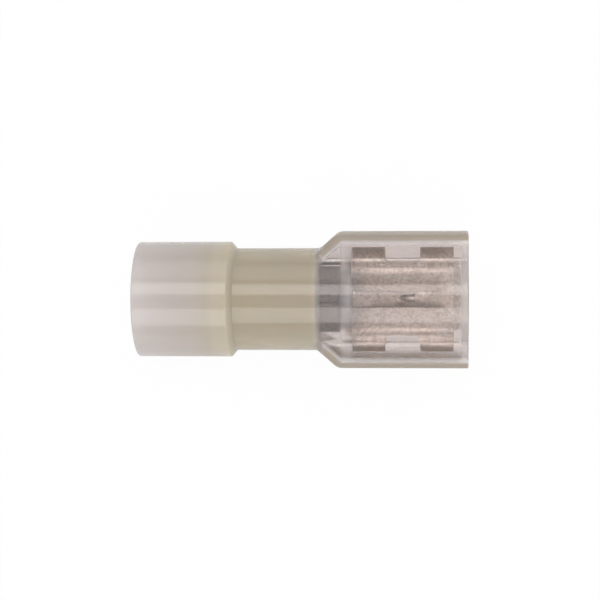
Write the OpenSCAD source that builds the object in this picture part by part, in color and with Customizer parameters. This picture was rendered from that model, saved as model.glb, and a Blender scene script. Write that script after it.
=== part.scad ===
// Fully insulated female spade terminal (quick disconnect), for a 6.35 x 0.8 mm tab
// and 4 to 6 mm2 wire, as it leaves the box and before it is crimped.
// Three pieces: a terminal rolled from one strip of sheet metal, a split support sleeve
// round its wire barrel, and a clear insulator moulded in one piece over both.
//
// X runs along the axis from the wire end to the tab mouth, Y runs across the flat box
// and Z points up. The origin is the centre of the wire entry. The part lies on its round
// side with the rolls up, and leans over about X until one wing is close to the table, as
// such a part comes to rest.

/* [Placing] */
// Lean of the rolls away from straight up, about X
rest_roll = 20; // [0:1:22]

/* [Tab fit] */
// Width of the tab that the terminal takes
tab_w = 6.35; // [6.2:0.05:6.5]
// Thickness of that tab
tab_t = 0.8; // [0.75:0.05:0.9]
// Play beside the tab, on each side
tab_side_play = 0.18; // [0.1:0.01:0.25]
// How much tighter the empty slot is than the tab
tab_squeeze = 0.1; // [0.05:0.01:0.15]

/* [Rolled terminal] */
// Thickness of the sheet
stock_t = 0.45; // [0.38:0.01:0.5]
// Height over the floor and the rolls
receptacle_h = 2.6; // [2.5:0.05:2.8]
// Length of the rolls
receptacle_len = 7.35; // [7:0.05:8]
// Gap between the free edges of the two rolls
roll_gap = 1.1; // [0.8:0.1:1.4]
// Corner cut off each free edge at the mouth
roll_chamfer = 0.75; // [0.5:0.05:0.9]
// Length of each of the four spring ears
ear_len = 2.4; // [2.1:0.05:2.7]
// How far each side window reaches in
window_depth = 1.35; // [1.2:0.05:1.5]
// Radius in the corners of the windows
window_corner_r = 0.35; // [0.2:0.05:0.45]
// Length of the tongue that the floor puts out ahead of the rolls
tongue_len = 0.45; // [0.3:0.05:0.6]
// Radius of the tongue's corners
tongue_corner_r = 0.4; // [0.25:0.05:0.45]
// Length of the locking dimple
dimple_len = 1.25; // [1:0.05:1.6]
// Width of the locking dimple
dimple_w = 0.6; // [0.5:0.05:0.8]
// Distance from the front of the rolls to the dimple
dimple_setback = 2.8; // [2.4:0.1:3.2]
// Length of the open stretch between the barrel and the rolls
transition_len = 0.9; // [0.8:0.05:1.3]

/* [Wire barrel] */
// Bore of the wire barrel
wire_bore_d = 3.9; // [3.6:0.05:4.1]
// Length of the wire barrel
barrel_len = 7.85; // [7.4:0.05:8.2]
// Gap left along the butt seam
seam_gap = 0.12; // [0.08:0.02:0.2]
// Depth of the corner cut at each end of the seam
seam_corner = 0.3; // [0.2:0.05:0.4]
// Number of serration grooves in the bore
groove_count = 3; // [2:1:4]
// Width of a serration groove
groove_w = 0.5; // [0.4:0.05:0.6]
// Depth of a serration groove
groove_depth = 0.18; // [0.16:0.01:0.2]
// Spacing of the serration grooves
groove_pitch = 1.4; // [1.2:0.1:1.5]

/* [Support sleeve] */
// Thickness of the sleeve
sleeve_t = 0.42; // [0.35:0.01:0.5]
// Length of the sleeve
sleeve_len = 6.2; // [5.8:0.05:6.5]
// Gap left along the sleeve's seam
sleeve_seam_gap = 0.16; // [0.1:0.02:0.3]
// Turn of the sleeve's seam away from the top
sleeve_seam_turn = 8; // [0:1:20]

/* [Insulator] */
// Bore that takes the wire's own insulation
entry_bore_d = 7; // [6.8:0.05:7.2]
// Depth of that bore
entry_bore_len = 4.6; // [4.2:0.1:4.8]
// Wall round that bore
entry_wall = 0.7; // [0.6:0.05:0.8]
// Length of the funnel that guides the wire
funnel_len = 1.8; // [1.6:0.05:2]
// Length of the lip that the barrel stops against
lip_len = 0.35; // [0.25:0.05:0.5]
// How much wider the lip is than the barrel's bore, on the radius
lip_step = 0.25; // [0.2:0.01:0.3]
// Outside length of the thick rear end
rear_len = 6.8; // [6.5:0.05:7.2]
// Length of the sloping shoulder ahead of it
shoulder_len = 0.4; // [0.3:0.05:0.5]
// Wall round the support sleeve
neck_wall = 0.85; // [0.75:0.05:0.95]
// Length over which the neck widens into the box
flare_len = 1.45; // [1.3:0.05:1.6]
// Wall of the box
box_wall = 0.45; // [0.4:0.01:0.5]
// Radius along the outside edges of the box
box_edge_r = 0.85; // [0.75:0.05:0.95]
// Radius where the round back meets the flat wings
web_r = 0.35; // [0.25:0.05:0.45]
// How far the rolls sit back from the mouth
mouth_recess = 1.05; // [0.9:0.05:1.3]
// Length of the lead-in inside the mouth
lead_len = 0.5; // [0.4:0.05:0.6]
// Widening of that lead-in on each side
lead_w = 0.2; // [0.15:0.01:0.24]
// Bevel on the outer edge of the mouth
rim_bevel = 0.15; // [0.1:0.01:0.18]
// Radius on the outer edge of the wire entry
entry_edge_r = 0.1; // [0.06:0.02:0.2]

/* [Clearances] */
// Between the wire barrel and the sleeve, on the radius
barrel_clear = 0.03; // [0.02:0.01:0.05]
// Between the sleeve and the insulator, on the radius
sleeve_clear = 0.02; // [0.02:0.01:0.05]
// Between the rear of the barrel and the lip
seat_clear = 0.1; // [0.05:0.01:0.2]
// Between the front of the sleeve and the end of the neck
neck_clear = 0.1; // [0.05:0.01:0.2]
// Inside the box, beside the rolls
side_clear = 0.745; // [0.6:0.005:0.9]
// Inside the box, above and below the rolls
top_clear = 0.5; // [0.4:0.05:0.6]

/* [Hidden] */
$fn = 96;
blend_fn = 32;
nick = 0.02;

// Stations along X
lip_front = entry_bore_len + funnel_len + lip_len;
barrel_rear = lip_front + seat_clear;
barrel_front = barrel_rear + barrel_len;
rolls_rear = barrel_front + transition_len;
rolls_front = rolls_rear + receptacle_len;
sleeve_front = barrel_rear + sleeve_len;
neck_front = sleeve_front + neck_clear;
flare_front = neck_front + flare_len;
mouth_x = rolls_front + mouth_recess;

// Radii about the axis
wire_bore_r = wire_bore_d / 2;
barrel_r = wire_bore_r + stock_t;
sleeve_bore_r = barrel_r + barrel_clear;
sleeve_r = sleeve_bore_r + sleeve_t;
neck_bore_r = sleeve_r + sleeve_clear;
neck_r = neck_bore_r + neck_wall;
cavity_r = neck_r - box_wall;
entry_bore_r = entry_bore_d / 2;
entry_r = entry_bore_r + entry_wall;
lip_bore_r = wire_bore_r + lip_step;

// Section of the receptacle: each side turns round one centre, up and over
receptacle_half_w = tab_w / 2 + tab_side_play + stock_t;
turn_r = receptacle_h / 2;
turn_mid_r = turn_r - stock_t / 2;
turn_y = receptacle_half_w - turn_r;
floor_z = -turn_r;
edge_y = roll_gap / 2 + stock_t / 2;
edge_z = floor_z + stock_t + tab_t - tab_squeeze + stock_t / 2;
edge_reach = norm([turn_y - edge_y, edge_z]);
flange_len = sqrt(pow(edge_reach, 2) - pow(turn_mid_r, 2));
flange_slope = atan2(-edge_z, turn_y - edge_y) + asin(turn_mid_r / edge_reach);

window_y = receptacle_half_w - window_depth;
window_rear = rolls_rear + ear_len;
window_front = rolls_front - ear_len;
dimple_front = rolls_front - dimple_setback;

// Section of the box
box_half_w = receptacle_half_w + side_clear + box_wall;
box_half_h = receptacle_h / 2 + top_clear + box_wall;
flare_angle = atan2(box_half_w - neck_r, flare_len);
edge_corner_x = flare_front + box_edge_r * tan(flare_angle / 2);
edge_corner_y = box_half_w - box_edge_r;
edge_corner_z = box_half_h - box_edge_r;
root_y = neck_bore_r / 2;
root_x = edge_corner_x - (edge_corner_y - root_y) / tan(flare_angle);

function arc(centre, r, from, to, steps = 6) =
    [for (i = [0:steps]) centre + r * [cos(from + (to - from) * i / steps),
                                       sin(from + (to - from) * i / steps)]];

// Lays a flat profile on the YZ plane at station x and draws it out along X
module along_x(x, len) {
    translate([x, 0, 0]) rotate([90, 0, 90]) linear_extrude(len) children();
}

// Turns a profile of [radius, station] points about the X axis
module turned() {
    rotate([0, 90, 0]) rotate_extrude() children();
}

module rod(x, len, r1, r2) {
    translate([x, 0, 0]) rotate([0, 90, 0]) cylinder(h = len, r1 = r1, r2 = r2);
}

module both_sides() {
    children();
    mirror([0, 1, 0]) children();
}

// ---- Insulator ----

// A flat slab with round edges that follows the flare and stops at the mouth. Slabs of
// different edge_r share their centres, so the smaller one leaves an even wall.
module winged_slab(edge_r, bevel) {
    hull() for (side_y = [-1, 1], side_z = [-1, 1]) {
        for (corner = [[root_x, root_y], [edge_corner_x, edge_corner_y]])
            translate([corner[0], side_y * corner[1], side_z * edge_corner_z])
                sphere(r = edge_r, $fn = blend_fn);
        translate([edge_corner_x, side_y * edge_corner_y, side_z * edge_corner_z])
            rotate([0, 90, 0]) {
                straight = mouth_x - edge_corner_x;
                cylinder(h = straight - rim_bevel, r = edge_r, $fn = blend_fn);
                cylinder(h = straight, r = edge_r - bevel, $fn = blend_fn);
            }
    }
}

// Widens the mouth of the cavity so that the tab finds its way in
module winged_lead_in() {
    hull() for (side_y = [-1, 1], side_z = [-1, 1])
        translate([mouth_x - lead_len, side_y * edge_corner_y, side_z * edge_corner_z])
            rotate([0, 90, 0])
                cylinder(h = lead_len + nick, r1 = box_edge_r - box_wall,
                         r2 = box_edge_r - box_wall + lead_w, $fn = blend_fn);
}

// The hollow corner between a round back of radius r and a wing of half thickness half_t
module web_profile(r, half_t, fillet_r) {
    centre = [sqrt(pow(r + fillet_r, 2) - pow(half_t + fillet_r, 2)), half_t + fillet_r];
    on_back = centre * r / (r + fillet_r);
    root = [on_back[0] - fillet_r, half_t - fillet_r];
    difference() {
        polygon([root, on_back, centre, [centre[0], half_t], [centre[0], root[1]]]);
        translate(centre) circle(r = fillet_r);
    }
}

module webs(r, half_t, fillet_r) {
    intersection() {
        both_sides() for (side_z = [0, 1]) mirror([0, 0, side_z])
            along_x(neck_front, mouth_x - neck_front + nick) web_profile(r, half_t, fillet_r);
        translate([0, 0, -entry_r]) linear_extrude(2 * entry_r) both_sides()
            polygon([[root_x, 0], [root_x, root_y], [edge_corner_x, edge_corner_y],
                     [mouth_x, edge_corner_y], [mouth_x, 0]]);
    }
}

module insulator_outside() {
    turned() polygon(concat(
        [[0, 0]],
        arc([entry_r - entry_edge_r, entry_edge_r], entry_edge_r, -90, 0),
        arc([entry_r - entry_edge_r, rear_len - entry_edge_r], entry_edge_r, 0, 45),
        [[neck_r, rear_len + shoulder_len], [neck_r, mouth_x - rim_bevel],
         [neck_r - rim_bevel, mouth_x], [0, mouth_x]]));
    winged_slab(box_edge_r, rim_bevel);
    webs(neck_r, box_half_h, web_r);
}

module box_cavity() {
    intersection() {
        winged_slab(box_edge_r - box_wall, 0);
        translate([neck_front, -box_half_w, -box_half_h])
            cube([mouth_x, 2 * box_half_w, 2 * box_half_h]);
    }
    webs(cavity_r, box_half_h - box_wall, web_r + box_wall);
    rod(neck_front, mouth_x - neck_front + nick, cavity_r, cavity_r);
    rod(mouth_x - lead_len, lead_len + nick, cavity_r, cavity_r + lead_w);
    winged_lead_in();
}

module insulator() {
    color([0.82, 0.78, 0.70, 0.75]) difference() {
        insulator_outside();
        rod(-nick, entry_bore_len + nick, entry_bore_r, entry_bore_r);
        rod(entry_bore_len, funnel_len, entry_bore_r, lip_bore_r);
        rod(entry_bore_len, funnel_len + lip_len + nick, lip_bore_r, lip_bore_r);
        rod(lip_front, neck_front - lip_front + nick, neck_bore_r, neck_bore_r);
        box_cavity();
    }
}

// ---- Terminal ----

// A tube rolled from flat strip, with its butt seam at the top and its corners cut
module rolled_tube(x, len, bore_r, wall, gap) {
    difference() {
        rod(x, len, bore_r + wall, bore_r + wall);
        rod(x - nick, len + 2 * nick, bore_r, bore_r);
        translate([x - nick, -gap / 2, 0]) cube([len + 2 * nick, gap, bore_r + 2 * wall]);
        for (end = [x, x + len]) translate([end, 0, 0]) rotate([0, 0, 45])
            translate([-seam_corner, -seam_corner, 0] / sqrt(2))
                cube([sqrt(2) * seam_corner, sqrt(2) * seam_corner, bore_r + 2 * wall]);
    }
}

module wire_barrel() {
    difference() {
        rolled_tube(barrel_rear, barrel_len, wire_bore_r, stock_t, seam_gap);
        for (i = [0:groove_count - 1])
            rod(barrel_rear + sleeve_len / 2 + (i - (groove_count - 1) / 2) * groove_pitch
                - groove_w / 2, groove_w, wire_bore_r + groove_depth, wire_bore_r + groove_depth);
    }
}

// One side of the receptacle: half the floor, the turn, and the flange that slopes back
// down until its round free edge stands over the floor by the thickness of the slot
module receptacle_side() {
    translate([0, floor_z]) square([turn_y, stock_t]);
    translate([turn_y, 0]) intersection() {
        difference() {
            circle(r = turn_r);
            circle(r = turn_r - stock_t);
        }
        polygon([[0, 0], [0, -2 * turn_r], [2 * turn_r, -2 * turn_r], [2 * turn_r, 2 * turn_r],
                 [-2 * turn_r * sin(flange_slope), 2 * turn_r * cos(flange_slope)]]);
    }
    translate([edge_y, edge_z]) rotate(flange_slope) translate([0, -stock_t / 2])
        square([flange_len + nick, stock_t]);
    translate([edge_y, edge_z]) circle(r = stock_t / 2);
}

module side_window() {
    r = window_corner_r;
    reach = 2 * window_depth;
    translate([0, 0, -receptacle_h]) linear_extrude(2 * receptacle_h) {
        translate([window_rear, window_y + r]) square([window_front - window_rear, reach]);
        translate([window_rear + r, window_y]) square([window_front - window_rear - 2 * r, reach]);
        for (x = [window_rear + r, window_front - r]) translate([x, window_y + r]) circle(r = r);
    }
}

module free_edge_corner() {
    inner_y = roll_gap / 2;
    translate([0, 0, floor_z + stock_t]) linear_extrude(receptacle_h)
        polygon([[rolls_front - roll_chamfer, -nick], [rolls_front - roll_chamfer, inner_y],
                 [rolls_front, inner_y + roll_chamfer], [rolls_front + nick, inner_y + roll_chamfer],
                 [rolls_front + nick, -nick]]);
}

module tongue() {
    half_w = window_y - tongue_corner_r;
    translate([0, 0, floor_z]) linear_extrude(stock_t) {
        translate([rolls_front, -half_w]) square([tongue_len, 2 * half_w]);
        translate([rolls_front, -window_y])
            square([tongue_len - tongue_corner_r, 2 * window_y]);
        for (side = [-1, 1]) translate([rolls_front + tongue_len - tongue_corner_r, side * half_w])
            circle(r = tongue_corner_r);
    }
}

// The dimple is pressed up from below: it ramps up from the wire end and stops square
module dimple(r) {
    rod(dimple_front - dimple_len, dimple_len / 2, nick, r);
    rod(dimple_front - dimple_len / 2, dimple_len / 2, r, r);
}

// The lower half of the barrel opens out and climbs to the level of the receptacle floor
module trough_hull(r, half_w, low_z, high_z, overlap) {
    hull() {
        along_x(barrel_front - overlap, nick) difference() {
            circle(r = r, $fn = blend_fn);
            translate([-r, high_z]) square(2 * r);
        }
        along_x(rolls_rear + overlap - nick, nick)
            translate([-half_w, low_z]) square([2 * half_w, high_z - low_z]);
    }
}

module transition() {
    lip_z = floor_z + 2 * stock_t;
    difference() {
        trough_hull(barrel_r, turn_y + stock_t, floor_z, lip_z, 0);
        trough_hull(wire_bore_r, turn_y, floor_z + stock_t, lip_z + nick, nick);
    }
}

module terminal() {
    color([0.72, 0.68, 0.62]) {
        wire_barrel();
        transition();
        difference() {
            union() {
                both_sides() along_x(rolls_rear, receptacle_len) receptacle_side();
                tongue();
                translate([0, 0, floor_z + stock_t]) dimple(dimple_w / 2);
            }
            both_sides() side_window();
            both_sides() free_edge_corner();
            translate([0, 0, floor_z]) dimple(dimple_w / 2 - stock_t / 4);
        }
    }
}

// ---- Sleeve ----

module sleeve() {
    color([0.76, 0.66, 0.42]) rotate([-sleeve_seam_turn, 0, 0])
        rolled_tube(barrel_rear, sleeve_len, sleeve_bore_r, sleeve_t, sleeve_seam_gap);
}

// ---- The part as it lies ----

rotate([rest_roll, 0, 0]) {
    insulator();
    terminal();
    sleeve();
}
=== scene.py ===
# %% [markdown]
# # A clear insulated spade terminal
# The object is a crimp terminal for a 6.35 mm tab. A strip of tinned brass is rolled at one
# end into a socket for the tab and at the other end into a barrel for the wire. A split brass
# sleeve goes round the barrel, and a nylon insulator is moulded in one piece over both.
# It lies on a white table on its round side, and leans until one wing is close to the table.
# The lesson builds the moulding as one loft, softens the CAD model's sheet metal, and rolls
# the sleeve with Geometry Nodes.

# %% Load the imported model
import math

import bmesh
import bpy
import numpy as np
from mathutils import Matrix, Vector


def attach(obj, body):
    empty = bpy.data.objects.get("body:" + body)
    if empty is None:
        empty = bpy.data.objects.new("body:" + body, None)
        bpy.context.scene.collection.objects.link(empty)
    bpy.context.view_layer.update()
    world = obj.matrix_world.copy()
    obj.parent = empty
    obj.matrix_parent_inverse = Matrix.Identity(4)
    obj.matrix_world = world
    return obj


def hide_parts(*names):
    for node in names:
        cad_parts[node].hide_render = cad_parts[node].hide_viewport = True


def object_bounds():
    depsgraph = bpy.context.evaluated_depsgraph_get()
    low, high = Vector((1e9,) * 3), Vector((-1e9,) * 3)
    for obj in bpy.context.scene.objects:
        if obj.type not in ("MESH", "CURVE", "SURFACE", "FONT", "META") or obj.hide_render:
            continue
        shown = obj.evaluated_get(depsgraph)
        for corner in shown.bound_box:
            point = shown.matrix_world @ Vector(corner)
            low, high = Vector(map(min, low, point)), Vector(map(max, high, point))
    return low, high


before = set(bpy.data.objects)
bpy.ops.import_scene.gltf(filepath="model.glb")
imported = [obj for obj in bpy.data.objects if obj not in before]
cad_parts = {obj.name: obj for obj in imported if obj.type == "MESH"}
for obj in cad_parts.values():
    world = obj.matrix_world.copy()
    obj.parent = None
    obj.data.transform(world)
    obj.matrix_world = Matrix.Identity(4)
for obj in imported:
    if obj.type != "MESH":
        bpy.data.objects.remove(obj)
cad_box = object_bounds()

MM = 0.001


def in_mm(box):
    """The corners of a box in mm, rounded for printing."""
    return [[round(v / MM, 2) for v in corner] for corner in box]


print("nodes:", sorted(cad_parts))
print("box, mm:", in_mm(cad_box))

# %% [markdown]
# ## Sizes
# Sizes are written in millimetres, as they are on a drawing, and become metres when a mesh is
# made. X runs along the axis from the wire end to the mouth. The part can't stand, so it rests
# on its round side, leaning by 20 degrees about X. Every mesh is made upright and then leant.

# %% Sizes of the insulator
LEAN = math.radians(20)
MOUTH_X = 24.0
ENTRY_BORE_R, ENTRY_BORE_END = 3.5, 4.6
FUNNEL_END, LIP_FRONT, LIP_BORE_R = 6.4, 6.75, 2.2
REAR_R, REAR_END, SHOULDER_END = 4.2, 6.8, 7.2
NECK_R, NECK_BORE_R, NECK_FRONT = 3.72, 2.87, 13.15
BOX_HALF_W, BOX_HALF_H, BOX_WALL, BOX_EDGE_R = 4.86, 2.25, 0.45, 0.85
# The flare's sides reach the box's full width at BOX_CORNER_X. That width is 9.72 mm here and
# 10.0 mm in the CAD model, so the visible box stays inside the CAD one.
BOX_CORNER_X = 14.92
FLARE_SLOPE = math.tan(math.radians(41.4))
print("insulator, mm:", MOUTH_X, "long,", 2 * REAR_R, "round,", 2 * BOX_HALF_W, "across the box")

# %% [markdown]
# ## The section of the insulator
# The real insulator is blown out from a round neck into a flat box with a round back. Seen
# along X, each outline is a circle joined to a rounded rectangle. A ray from the axis meets
# such an outline once, so it can be written as a radius for each direction. A soft maximum of
# the two radii gives the small fillet where the round back meets the flat wings, which a
# boolean would leave sharp.

# %% Rays round the axis
def ray_directions():
    """Directions round the axis, closest together where the box has its corners."""
    quarter = np.concatenate([np.linspace(0, 12, 7)[:-1], np.linspace(12, 46, 41)[:-1],
                              np.linspace(46, 90, 25)[:-1]])
    half = np.unique(np.round(np.concatenate([quarter, [90], 180 - quarter]), 6))
    return np.radians(np.concatenate([half[:-1], half[:-1] + 180]))


RAYS = ray_directions()
RAY_Y, RAY_Z = np.cos(RAYS), np.sin(RAYS)
print("rays:", len(RAYS))

# %% Outline of the box
# From here to BOX_CORNER_X the long corners of the flare turn into the round ones of the box.
LONG_CORNER_X = 14.3


def half_width(x, inset):
    """Half width of the flat box at x, for a surface that lies inset mm inside its outside."""
    r = BOX_EDGE_R - inset
    cos_f = 1 / math.hypot(1, FLARE_SLOPE)
    centre_y = BOX_HALF_W - BOX_EDGE_R
    touch_x = BOX_CORNER_X - r * FLARE_SLOPE * cos_f
    if x >= BOX_CORNER_X:
        return centre_y + r
    if x >= touch_x:
        return centre_y + math.sqrt(r * r - (x - BOX_CORNER_X) ** 2)
    return centre_y + r * cos_f + (x - touch_x) * FLARE_SLOPE


def box_radius(x, inset):
    """Radius of the rounded rectangle along every ray."""
    half_w, half_h = half_width(x, inset), BOX_HALF_H - inset
    corner_z = BOX_EDGE_R - inset
    settled = min(max((x - LONG_CORNER_X) / (BOX_CORNER_X - LONG_CORNER_X), 0), 1)
    corner_y = corner_z * (math.hypot(1, FLARE_SLOPE) * (1 - settled) + settled)
    cy, cz = half_w - corner_y, half_h - corner_z
    u, v = np.abs(RAY_Y), np.abs(RAY_Z)
    side = half_w / np.maximum(u, 1e-9)
    top = half_h / np.maximum(v, 1e-9)
    # Where a ray meets a corner, its radius solves a quadratic.
    a = (u / corner_y) ** 2 + (v / corner_z) ** 2
    b = -2 * (u * cy / corner_y ** 2 + v * cz / corner_z ** 2)
    c = (cy / corner_y) ** 2 + (cz / corner_z) ** 2 - 1
    corner = (-b + np.sqrt(np.maximum(b * b - 4 * a * c, 0))) / (2 * a)
    return np.where(side * v <= cz, side, np.where(top * u <= cy, top, corner))


print("half width where the neck ends, mm:", round(half_width(NECK_FRONT, 0), 2))

# %% Circle and box together
WING_FILLET = 0.24


def soft_max(a, b, width):
    """The larger of two radii, rounded over where they are less than width apart."""
    h = np.maximum(width - np.abs(a - b), 0) / width
    return np.maximum(a, b) + h * h * width / 4


def section(x, inset):
    """The insulator's outline at x as a radius along every ray."""
    fillet = WING_FILLET + 0.5 * inset
    return soft_max(np.full_like(RAYS, NECK_R - inset), box_radius(x, inset), fillet)


def ring(radius):
    """A round outline."""
    return np.full_like(RAYS, float(radius))


print("widest section, mm:", round(2 * float(section(20, 0).max()), 2))

# %% [markdown]
# ## The moulding as one loft
# A closed wall needs an outside, an inside and both ends. Here one closed chain of sections
# runs up the outside, over the mouth and back down the inside to the wire entry, so a single
# grid of quads makes the whole wall and no edge is left open. Corners get a few sections each
# on a small arc, because moulded nylon has no sharp edges and the arcs catch the light.

# %% Rounded corners along the chain
ARC_STEPS = 6


def arc_chain(corners):
    """Walks through (x, height, fillet) corners and puts a small arc on each."""
    out = []
    pts = [Vector(c[:2]) for c in corners]
    for i, (p, c) in enumerate(zip(pts, corners)):
        if c[2] == 0 or i in (0, len(pts) - 1):
            out.append(tuple(p))
            continue
        to_last, to_next = (pts[i - 1] - p).normalized(), (pts[i + 1] - p).normalized()
        half = to_last.angle(to_next) / 2
        reach = c[2] / math.tan(half)
        centre = p + (to_last + to_next).normalized() * c[2] / math.sin(half)
        start, end = p + to_last * reach - centre, p + to_next * reach - centre
        turn = start.angle_signed(end)
        for step in range(ARC_STEPS + 1):
            out.append(tuple(centre + Matrix.Rotation(-turn * step / ARC_STEPS, 2) @ start))
    return out


def round_part(corners):
    """Round sections. A corner's second number is its radius."""
    return [(x, ring(r)) for x, r in arc_chain(corners)]


def box_part(corners):
    """Box sections. A corner's second number is how far it lies inside the outside."""
    return [(x, section(x, inset)) for x, inset in arc_chain(corners)]


print("sections on an arc:", ARC_STEPS + 1)

# %% The chain of sections
# The chain starts and ends in the middle of the ring-shaped rear end.
END_FACE_R = 3.75
REAR_EDGE_R, SHOULDER_EDGE_R, MOUTH_EDGE_R, BORE_EDGE_R = 0.1, 0.06, 0.12, 0.08
# Inside, the flat box drops to the neck's bore over this length.
NECK_STEP = 0.16


def outside_sections():
    """From the rear end over the shoulder, the neck and the flare, and along the box."""
    chain = round_part([(0, END_FACE_R, 0), (0, REAR_R, REAR_EDGE_R), (3.0, REAR_R, 0),
                        (REAR_END - 0.6, REAR_R, 0), (REAR_END, REAR_R, REAR_EDGE_R),
                        (SHOULDER_END, NECK_R, SHOULDER_EDGE_R), (SHOULDER_END + 0.5, NECK_R, 0),
                        (11.0, NECK_R, 0)])
    chain += [(x, section(x, 0)) for x in np.linspace(12.2, 15.2, 31)]
    chain += [(x, section(x, 0)) for x in (16, 18, 20, 22)]
    return chain


def mouth_sections():
    """Over the front edge and down a small chamfer into the mouth."""
    return box_part([(23.2, 0, 0), (MOUTH_X, 0, MOUTH_EDGE_R), (MOUTH_X, 0.25, 0.05),
                     (MOUTH_X - 0.5, BOX_WALL, 0.3), (MOUTH_X - 1.0, BOX_WALL, 0)])


def inside_sections():
    """Back through the box, the neck's bore, the lip and the funnel to the rear end."""
    chain = [(x, section(x, BOX_WALL)) for x in (21, 19, 17)]
    chain += [(x, section(x, BOX_WALL)) for x in np.linspace(15.6, NECK_FRONT + NECK_STEP, 24)]
    wall = section(NECK_FRONT, BOX_WALL)
    for part in (0.0, 0.25, 0.5, 0.75):
        chain.append((NECK_FRONT + NECK_STEP * (1 - math.sin(math.radians(30 + 80 * part))),
                      wall * (1 - part) + NECK_BORE_R * part))
    chain += round_part([(NECK_FRONT, 3.0, 0), (NECK_FRONT, NECK_BORE_R, BORE_EDGE_R),
                         (10.0, NECK_BORE_R, 0), (LIP_FRONT, NECK_BORE_R, BORE_EDGE_R),
                         (LIP_FRONT, LIP_BORE_R, 0.06), (FUNNEL_END, LIP_BORE_R, 0.1),
                         (ENTRY_BORE_END, ENTRY_BORE_R, 0.3), (2.0, ENTRY_BORE_R, 0),
                         (0, ENTRY_BORE_R, 0.12), (0, END_FACE_R - 0.01, 0)])
    return chain


moulding_chain = outside_sections() + mouth_sections() + inside_sections()
print("sections:", len(moulding_chain))

# %% Loft the moulding
def leant(points):
    """Turns upright points in mm by the lean about X, and gives them in metres."""
    p = np.asarray(points, dtype=float)
    c, s = math.cos(LEAN), math.sin(LEAN)
    return np.column_stack([p[:, 0], p[:, 1] * c - p[:, 2] * s, p[:, 1] * s + p[:, 2] * c]) * MM


def piece_from(name, verts, faces):
    """Makes a smooth-shaded mesh object at the origin."""
    mesh = bpy.data.meshes.new(name)
    mesh.from_pydata([tuple(v) for v in verts], [], faces)
    mesh.validate()
    mesh.polygons.foreach_set("use_smooth", [True] * len(mesh.polygons))
    obj = bpy.data.objects.new(name, mesh)
    bpy.context.scene.collection.objects.link(obj)
    return obj


def loft(name, chain):
    """Joins each section to the next with quads, and the last one to the first."""
    n, m = len(chain), len(RAYS)
    rows = [np.column_stack([np.full(m, x), r * RAY_Y, r * RAY_Z]) for x, r in chain]
    faces = [(i * m + j, i * m + (j + 1) % m, (i + 1) % n * m + (j + 1) % m, (i + 1) % n * m + j)
             for i in range(n) for j in range(m)]
    return piece_from(name, leant(np.vstack(rows)), faces)


def outward_volume(obj):
    """Turns the faces outwards and gives the volume in cubic mm."""
    bm = bmesh.new()
    bm.from_mesh(obj.data)
    volume = bm.calc_volume(signed=True)
    if volume < 0:
        bmesh.ops.reverse_faces(bm, faces=bm.faces[:])
        bm.to_mesh(obj.data)
    bm.free()
    return abs(volume) / MM ** 3


moulding = loft("insulator_moulding", moulding_chain)
print("moulding:", len(moulding.data.polygons), "quads,", round(outward_volume(moulding), 1), "mm3")
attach(moulding, "root")
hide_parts("insulator")

# %% [markdown]
# ## The rolled terminal
# The strip is blanked, rolled and plated, so its cut edges are slightly rounded. The CAD model
# already has every fold and cut-out, so a copy of it is merged into one skin, its flat areas
# are joined into whole faces, and a narrow bevel goes along each edge that is sharp.

# %% Helpers for the sheet metal
def merged_copy(node, name):
    """Copies a CAD node, joins its loose triangles and makes its flat areas whole faces."""
    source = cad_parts[node]
    obj = bpy.data.objects.new(name, source.data.copy())
    bpy.context.scene.collection.objects.link(obj)
    bm = bmesh.new()
    bm.from_mesh(obj.data)
    bmesh.ops.remove_doubles(bm, verts=bm.verts, dist=2e-6)
    bmesh.ops.dissolve_limit(bm, angle_limit=math.radians(0.6), verts=bm.verts, edges=bm.edges)
    bm.to_mesh(obj.data)
    bm.free()
    return obj


def finish_mesh(obj, sharp_degrees):
    """Keeps what the modifiers make, and shades smooth up to an angle between two faces."""
    graph = bpy.context.evaluated_depsgraph_get()
    mesh = bpy.data.meshes.new_from_object(obj.evaluated_get(graph), depsgraph=graph)
    obj.modifiers.clear()
    obj.data = mesh
    mesh.polygons.foreach_set("use_smooth", [True] * len(mesh.polygons))
    mesh.set_sharp_from_angle(angle=math.radians(sharp_degrees))


# %% Soften the sheet metal
terminal = merged_copy("terminal", "rolled_terminal")
soften = terminal.modifiers.new("soft_edges", "BEVEL")
soften.width = 0.045 * MM
soften.segments = 2
soften.limit_method = "ANGLE"
soften.angle_limit = math.radians(38)
soften.harden_normals = False
finish_mesh(terminal, 34)
print("terminal:", len(terminal.data.polygons), "faces")
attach(terminal, "root")
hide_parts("terminal")

# %% [markdown]
# ## Short ways to build nodes
# The sleeve's Geometry Nodes and all the materials are trees of nodes. Written out, each node
# takes three or four lines, so a small kit adds a node and fills its sockets at once.

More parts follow.
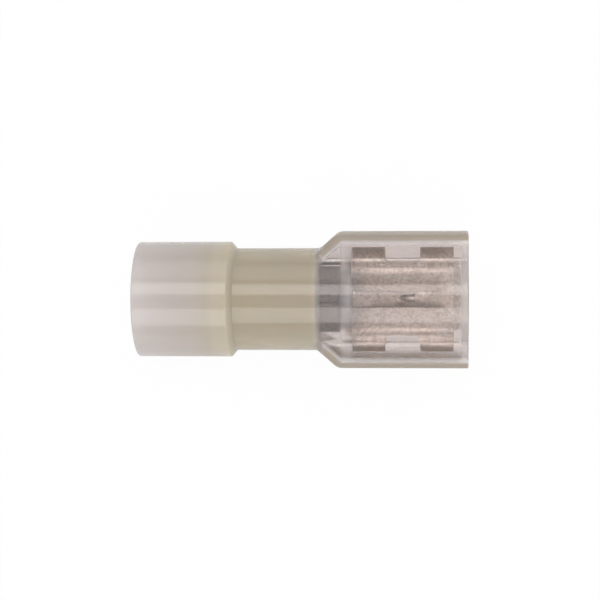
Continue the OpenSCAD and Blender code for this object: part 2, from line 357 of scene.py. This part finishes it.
# %% A kit for node trees
class NodeKit:
    """Adds nodes to a tree. A value is a number, a colour or the output of another node."""

    def __init__(self, tree):
        self.tree = tree

    def add(self, kind, inputs=None, **settings):
        """Adds a node, with its own settings and the values of its inputs."""
        node = self.tree.nodes.new(kind)
        for name, value in settings.items():
            setattr(node, name, value)
        for name, value in (inputs or {}).items():
            if isinstance(value, bpy.types.NodeSocket):
                self.tree.links.new(value, node.inputs[name])
            else:
                node.inputs[name].default_value = value
        return node

    def calc(self, operation, *values, **settings):
        """The result of one Math node."""
        node = self.add("ShaderNodeMath", dict(enumerate(values)), operation=operation, **settings)
        return node.outputs[0]

    def rescale(self, value, low, high, to_low=0, to_high=1, **settings):
        """Turns the range from low to high into another one, and holds it past both ends."""
        return self.add("ShaderNodeMapRange", {"Value": value, "From Min": low, "From Max": high,
                                               "To Min": to_low, "To Max": to_high},
                        **settings).outputs["Result"]

    def blend(self, factor, first, second, kind="FLOAT", **settings):
        """The first value where factor is 0 and the second where it is 1."""
        at, result = {"FLOAT": (2, 0), "RGBA": (6, 2)}[kind]
        node = self.add("ShaderNodeMix", {0: factor, at: first, at + 1: second},
                        data_type=kind, **settings)
        return node.outputs[result]

    def ramp(self, value, stops):
        """A soft ramp through stops, which are places from 0 to 1 with a colour or a level."""
        node = self.add("ShaderNodeValToRGB", {"Fac": value})
        node.color_ramp.interpolation = "EASE"
        marks = node.color_ramp.elements
        while len(marks) < len(stops):
            marks.new(0.5)
        for mark, (place, colour) in zip(marks, stops):
            mark.position = place
            mark.color = (*colour, 1) if isinstance(colour, tuple) else (colour, colour, colour, 1)
        return node.outputs["Color"]


# %% [markdown]
# ## The split sleeve
# The sleeve is a strip bent round into a tube, with a slit along it. That is a rule: sweep the
# strip's own section round an arc that stops short of a full turn. Geometry Nodes do it with
# an Arc, a rectangle with filleted corners and Curve to Mesh, and the sizes stay as inputs.

# %% Sizes of the sleeve
SLEEVE_START, SLEEVE_LEN, SLEEVE_BORE_R, SLEEVE_T = 6.85, 6.2, 2.43, 0.42
SLEEVE_SLIT, SLEEVE_SLIT_TURN = 0.16, math.radians(8)
print("sleeve, mm:", round(2 * (SLEEVE_BORE_R + SLEEVE_T), 2), "round,", SLEEVE_LEN, "long")

# %% Geometry Nodes tree for a strip rolled into a tube
def rolled_strip_tree():
    tree = bpy.data.node_groups.new("rolled_strip", "GeometryNodeTree")
    for label in ("Length", "Wall", "Middle radius", "Start", "Slit angle", "Turn", "Edge radius"):
        tree.interface.new_socket(label, in_out="INPUT", socket_type="NodeSocketFloat")
    tree.interface.new_socket("Metal", in_out="INPUT", socket_type="NodeSocketMaterial")
    tree.interface.new_socket("Geometry", in_out="OUTPUT", socket_type="NodeSocketGeometry")
    kit = NodeKit(tree)
    given = kit.add("NodeGroupInput").outputs

    bend = kit.add("GeometryNodeCurveArc", {
        "Resolution": 97, "Radius": given["Middle radius"],
        "Start Angle": kit.calc("MULTIPLY", given["Slit angle"], 0.5),
        "Sweep Angle": kit.calc("SUBTRACT", 2 * math.pi, given["Slit angle"])})
    strip = kit.add("GeometryNodeCurvePrimitiveQuadrilateral",
                    {"Width": given["Wall"], "Height": given["Length"]})
    soft = kit.add("GeometryNodeFilletCurve", {
        "Count": 3, "Curve": strip.outputs["Curve"], "Radius": given["Edge radius"]}, mode="POLY")
    sweep = kit.add("GeometryNodeCurveToMesh", {
        "Curve": bend.outputs["Curve"], "Profile Curve": soft.outputs["Curve"], "Fill Caps": True})

    # The arc lies flat with its slit toward +X. Turned to stand across X, the slit is on top.
    stand = kit.add("GeometryNodeTransform", {
        "Geometry": sweep.outputs["Mesh"], "Rotation": (0, -math.pi / 2, 0)})
    middle_x = kit.calc("ADD", given["Start"], kit.calc("MULTIPLY", given["Length"], 0.5))
    turn = kit.add("ShaderNodeCombineXYZ", {"X": given["Turn"]})
    shift = kit.add("ShaderNodeCombineXYZ", {"X": middle_x})
    place = kit.add("GeometryNodeTransform", {
        "Geometry": stand.outputs["Geometry"], "Rotation": turn.outputs[0],
        "Translation": shift.outputs[0]})
    real = kit.add("GeometryNodeRealizeInstances", {"Geometry": place.outputs["Geometry"]})
    dress = kit.add("GeometryNodeSetMaterial", {
        "Geometry": real.outputs["Geometry"], "Material": given["Metal"]})
    kit.add("NodeGroupOutput", {"Geometry": dress.outputs["Geometry"]})
    return tree


# %% Roll the sleeve
def rolled_strip(name, values):
    """An empty piece whose modifier makes the tube, with values for the tree's inputs."""
    obj = piece_from(name, [], [])
    mod = obj.modifiers.new("rolled_strip", "NODES")
    mod.node_group = rolled_strip_tree()
    sockets = {s.name: s.identifier for s in mod.node_group.interface.items_tree
               if s.item_type == "SOCKET" and s.in_out == "INPUT"}
    for label, value in values.items():
        mod[sockets[label]] = value
    return obj


sleeve_metal = bpy.data.materials.new("drawn_brass")
sleeve = rolled_strip("split_sleeve", {
    "Length": SLEEVE_LEN * MM, "Wall": SLEEVE_T * MM, "Start": SLEEVE_START * MM,
    "Middle radius": (SLEEVE_BORE_R + SLEEVE_T / 2) * MM, "Edge radius": 0.05 * MM,
    "Slit angle": SLEEVE_SLIT / (SLEEVE_BORE_R + SLEEVE_T), "Turn": LEAN - SLEEVE_SLIT_TURN,
    "Metal": sleeve_metal})
finish_mesh(sleeve, 40)
print("sleeve:", len(sleeve.data.polygons), "faces,", round(outward_volume(sleeve), 1), "mm3")
print("sleeve box, mm:", in_mm((sleeve.bound_box[0], sleeve.bound_box[6])))
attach(sleeve, "root")
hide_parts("sleeve")

# %% [markdown]
# ## Natural nylon
# Undyed nylon is milky where it is thick and nearly clear where it is thin. The rear barrel and
# the neck are thick, so light goes in, scatters and comes out again. The box is thin, and the
# metal shows through it. One Principled shader does both: its colour, how much light passes
# straight through and its roughness change along X, and an absorbing volume tints the light
# that travels a long way inside the plastic.

# %% Helpers for materials
def emptied(owner):
    """A kit for the nodes of a material or a world, which are cleared first."""
    owner.use_nodes = True
    owner.node_tree.nodes.clear()
    return NodeKit(owner.node_tree)


def linear(r, g, b):
    """A colour as it shows on screen, 0 to 255, as the linear colour that a shader takes."""
    return tuple(((v / 255 + 0.055) / 1.055) ** 2.4 for v in (r, g, b))


# %% Nylon along the axis
# Each stop is a place along X, from 0 at the wire end to 1 at the mouth.
NYLON_TONE = [(0.0, linear(219, 212, 210)), (0.16, linear(213, 204, 197)),
              (0.25, linear(211, 201, 184)), (0.3, linear(209, 198, 175)),
              (0.53, linear(211, 200, 179)), (0.57, linear(234, 227, 226))]
NYLON_CLARITY = [(0.0, 0.3), (0.22, 0.3), (0.25, 0.24), (0.28, 0.24), (0.31, 0.42),
                 (0.54, 0.46), (0.565, 0.9), (0.612, 0.9), (0.63, 0.8), (0.64, 0.8),
                 (0.67, 0.93), (0.972, 0.92), (0.985, 0.6)]
NYLON_HAZE = [(0.0, 0.12), (0.5, 0.1), (0.54, 0.1), (0.57, 0.06)]

nylon = bpy.data.materials.new("natural_nylon")
kit = emptied(nylon)
where = kit.add("ShaderNodeTexCoord").outputs["Object"]
upright = kit.add("ShaderNodeVectorRotate", {"Vector": where, "Angle": -LEAN},
                  rotation_type="X_AXIS")
axes = kit.add("ShaderNodeSeparateXYZ", {0: upright.outputs[0]})
station = kit.rescale(axes.outputs["X"], 0, MOUTH_X * MM)
tone, clarity, haze = (kit.ramp(station, stops)
                       for stops in (NYLON_TONE, NYLON_CLARITY, NYLON_HAZE))
print("stops of tone, clarity and haze:", len(NYLON_TONE), len(NYLON_CLARITY), len(NYLON_HAZE))

# %% [markdown]
# ### Side walls and inner corners
# From above, the side walls of the box stand on edge, so light crosses them the long way and
# they look almost as milky as the neck. Their distance from the middle plane finds them, and
# the flare's slope is taken out first, so that the mask follows the flare. The rounded corners
# inside the box are thicker than its flat walls, so they turn a little cloudy and duller. A
# dull surface spreads what it mirrors, and the metal doesn't show twice in it.

# %% Where the side walls and the inner corners are
CORNER_CLARITY = 0.6

aside = kit.calc("ABSOLUTE", axes.outputs["Y"])
before_corner = kit.calc("SUBTRACT", BOX_CORNER_X * MM, axes.outputs["X"])
spread = kit.calc("MULTIPLY_ADD", kit.calc("MAXIMUM", before_corner, 0), FLARE_SLOPE, aside)
inner_face = BOX_HALF_W - BOX_WALL
side_wall = kit.rescale(spread, (inner_face - 0.04) * MM, (inner_face + 0.02) * MM)
past_neck = kit.rescale(axes.outputs["X"], (NECK_FRONT + 0.1) * MM, (NECK_FRONT + 0.5) * MM)
milky = kit.calc("MULTIPLY", side_wall, past_neck)
corner = kit.rescale(spread, (BOX_HALF_W - BOX_EDGE_R - 0.1) * MM, (inner_face - 0.1) * MM,
                     1, CORNER_CLARITY, interpolation_type="SMOOTHSTEP")
print("inner face of the side walls, mm:", round(inner_face, 2))

# %% Nylon on the side walls and in the inner corners
SIDE_TONE, SIDE_CLARITY, SIDE_HAZE = (*linear(204, 192, 178), 1), 0.47, 0.12
CORNER_HAZE = 0.3

cloudy = kit.calc("MULTIPLY", clarity, corner)
clarity = kit.blend(past_neck, clarity, cloudy)
tone = kit.blend(milky, tone, SIDE_TONE, "RGBA")
clarity = kit.blend(milky, clarity, SIDE_CLARITY)
haze = kit.blend(milky, haze, SIDE_HAZE)
dull = kit.rescale(corner, 1, CORNER_CLARITY, 0, CORNER_HAZE)
haze = kit.calc("MULTIPLY_ADD", dull, past_neck, haze)
print("clarity of the side walls:", SIDE_CLARITY)

# %% The plastic itself
swirl = kit.add("ShaderNodeTexNoise", {"Vector": where, "Scale": 420, "Detail": 3})
ripple = kit.add("ShaderNodeBump", {
    "Strength": 0.12, "Distance": 0.05 * MM, "Height": swirl.outputs["Fac"]})
plastic = kit.add("ShaderNodeBsdfPrincipled", {
    "IOR": 1.53, "Subsurface Weight": 0.8, "Subsurface Radius": (1.0, 0.85, 0.65),
    "Subsurface Scale": 0.8 * MM, "Base Color": tone, "Transmission Weight": clarity,
    "Roughness": haze, "Normal": ripple.outputs["Normal"]})
amber = kit.add("ShaderNodeVolumeAbsorption", {"Color": (0.93, 0.87, 0.78, 1), "Density": 260})
kit.add("ShaderNodeOutputMaterial", {"Surface": plastic.outputs[0], "Volume": amber.outputs[0]})
moulding.data.materials.clear()
moulding.data.materials.append(nylon)
print("nylon nodes:", len(nylon.node_tree.nodes))

# %% [markdown]
# ## Tin plate and brass
# Tin plate is a soft, satin metal: it mirrors broadly, and the rolling dies leave fine lines
# along the strip and cloudy patches. A noise stretched along X makes the lines, and a coarse
# and a fine noise cloud the colour, the roughness and the relief. A painted shade along X darkens
# and roughens the metal where little light reaches it inside the plastic, most on the barrel
# and on the tongue at the mouth. The sleeve is plain drawn brass.

# %% One recipe for both metals
def metal(material, base, worn, roughness, scale, painted_shade_along_x):
    """painted_shade_along_x gives levels of painted shade at stations along X, in mm, which the colour
    is multiplied by.
    """
    kit = emptied(material)
    where = kit.add("ShaderNodeTexCoord").outputs["Object"]
    stretch = kit.add("ShaderNodeMapping", {"Vector": where, "Scale": (0.12, 1, 1)})

    def noise(vector, size, detail, fineness=0.5):
        return kit.add("ShaderNodeTexNoise", {"Vector": vector, "Scale": size, "Detail": detail,
                                              "Roughness": fineness}).outputs["Fac"]

    lines = noise(stretch.outputs[0], scale * 6, 4)
    clouds = noise(where, scale, 5, 0.62)
    grain = noise(where, scale * 5, 3)
    speckle = kit.calc("MULTIPLY_ADD", grain, 0.6, kit.calc("MULTIPLY", clouds, 0.4))
    colour = kit.ramp(speckle, [(0.45, worn), (0.53, base)])

    axes = kit.add("ShaderNodeSeparateXYZ", {0: where})
    station = kit.rescale(axes.outputs["X"], 0, MOUTH_X * MM)
    # Painted shade: the colour is multiplied by a level read from stations along X, and it is made
    # rougher where it is darker.
    shade = kit.ramp(station, [(x / MOUTH_X, level) for x, level in painted_shade_along_x])
    colour = kit.blend(1, colour, shade, "RGBA", blend_type="MULTIPLY")

    shine = kit.rescale(clouds, 0.3, 0.7, roughness - 0.07, roughness + 0.1)
    matt = kit.rescale(shade, 0.4, 0.8, 0.28, 0)
    relief = kit.calc("ADD", lines, grain)
    bump = kit.add("ShaderNodeBump", {"Strength": 0.4, "Distance": 0.015 * MM, "Height": relief})
    surface = kit.add("ShaderNodeBsdfPrincipled", {
        "Metallic": 1, "Base Color": colour, "Roughness": kit.calc("ADD", shine, matt),
        "Normal": bump.outputs[0]})
    kit.add("ShaderNodeOutputMaterial", {"Surface": surface.outputs[0]})


# %% Tin plate and drawn brass
# Painted shade and painted light on the tin: the barrel at 0.4 and the tongue at 0.68 are painted shade,
# and the open stretch behind the socket at 1 is painted light next to the socket's 0.87.
TIN_PAINTED_SHADE = [(13.2, 0.4), (14.7, 0.4), (14.78, 1), (15.65, 1), (15.8, 0.87), (22.9, 0.87),
             (23.0, 0.68)]
# The sleeve's level is 1 everywhere, so it gets no painted shade.
NO_PAINTED_SHADE = [(6, 1), (13, 1)]
tin = bpy.data.materials.new("tin_plate")
metal(tin, linear(252, 243, 235), linear(220, 207, 196), 0.36, 900, TIN_PAINTED_SHADE)
metal(sleeve_metal, linear(222, 204, 166), linear(198, 176, 134), 0.38, 700, NO_PAINTED_SHADE)
terminal.data.materials.clear()
terminal.data.materials.append(tin)
print("tin nodes:", len(tin.node_tree.nodes), " brass nodes:", len(sleeve_metal.node_tree.nodes))

# %% [markdown]
# ## Table, light and camera
# A small clear part is lit softly, from three long boxes above it and a pale room, which give
# the long pale bands on the round barrel. The table is white to the camera and to what looks
# through the plastic, and still takes the part's shadow. The camera looks down on the part,
# tipped toward -Y, so that it faces the leaning part nearly squarely.

# %% Table
# Half the table's side, in metres, so that its edge stays far behind the part.
TABLE_HALF = 3.0
# How much of the table's look is plain white light, for each kind of ray.
SEEN, MIRRORED, SEEN_THROUGH = 0.97, 0.3, 0.75

floor_z = cad_box[0][2]
floor = piece_from("table_top", [(-TABLE_HALF, -TABLE_HALF, floor_z), (TABLE_HALF, -TABLE_HALF, floor_z),
                                 (TABLE_HALF, TABLE_HALF, floor_z), (-TABLE_HALF, TABLE_HALF, floor_z)],
                   [(0, 1, 2, 3)])
paper = bpy.data.materials.new("white_table")
kit = emptied(paper)
rays = kit.add("ShaderNodeLightPath").outputs
white = kit.calc("MULTIPLY", rays["Is Camera Ray"], SEEN)
white = kit.calc("MULTIPLY_ADD", rays["Is Glossy Ray"], MIRRORED, white)
white = kit.calc("MULTIPLY_ADD", rays["Is Transmission Ray"], SEEN_THROUGH, white, use_clamp=True)
matt = kit.add("ShaderNodeBsdfDiffuse", {"Color": (0.88, 0.88, 0.88, 1)})
glow = kit.add("ShaderNodeEmission")
mix = kit.add("ShaderNodeMixShader", {"Fac": white, 1: matt.outputs[0], 2: glow.outputs[0]})
kit.add("ShaderNodeOutputMaterial", {"Surface": mix.outputs[0]})
floor.data.materials.append(paper)
print("table at z, mm:", round(floor_z / MM, 2))

# %% Light
# Lamps are measured in metres.
LAMP_DISTANCE = 0.32
middle = Vector([(a + b) / 2 for a, b in zip(*cad_box)])


def soft_box(name, side_angle, width, length, radiance):
    """A long lamp over the part. side_angle is measured from straight up toward +Y."""
    lamp = bpy.data.lights.new(name, "AREA")
    lamp.shape = "RECTANGLE"
    lamp.size, lamp.size_y = length, width
    lamp.energy = radiance * math.pi * length * width
    obj = bpy.data.objects.new(name, lamp)
    bpy.context.scene.collection.objects.link(obj)
    a = math.radians(side_angle)
    obj.location = middle + Vector((0, math.sin(a), math.cos(a))) * LAMP_DISTANCE
    obj.rotation_euler = (-a, 0, 0)
    print(name, "energy, W:", round(lamp.energy, 3))


soft_box("soft_box_far", 7, 0.13, 0.26, 2.2)
soft_box("soft_box_near", -51, 0.2, 0.26, 1.75)
soft_box("soft_box_side", 48, 0.2, 0.26, 0.65)
world = bpy.data.worlds.new("studio")
bpy.context.scene.world = world
kit = emptied(world)
room = kit.add("ShaderNodeBackground", {"Color": (1, 1, 1, 1), "Strength": 0.64})
kit.add("ShaderNodeOutputWorld", {"Surface": room.outputs[0]})

# %% Camera
LENS, CLIP_START = 101.6, 0.01
DISTANCE = 123.6 * MM
TILT_X, TILT_Y = math.radians(4.9), math.radians(-14.4)
target = Vector((11.78, -0.07, 0)) * MM
away = Vector((math.sin(TILT_X), math.sin(TILT_Y), math.cos(TILT_X))).normalized()
lens = bpy.data.cameras.new("camera")
lens.lens = LENS
lens.clip_start = CLIP_START
camera = bpy.data.objects.new("camera", lens)
bpy.context.scene.collection.objects.link(camera)
# The part's axis runs level across the view, so the camera's up is square to X.
up = away.cross(Vector((1, 0, 0))).normalized()
right = up.cross(away)
turned = Matrix((right, up, away)).transposed().to_4x4()
turned.translation = target + away * DISTANCE
camera.matrix_world = turned
bpy.context.scene.camera = camera
bpy.context.scene.view_settings.view_transform = "Standard"
print("camera at, mm:", [round(v / MM, 1) for v in turned.translation])
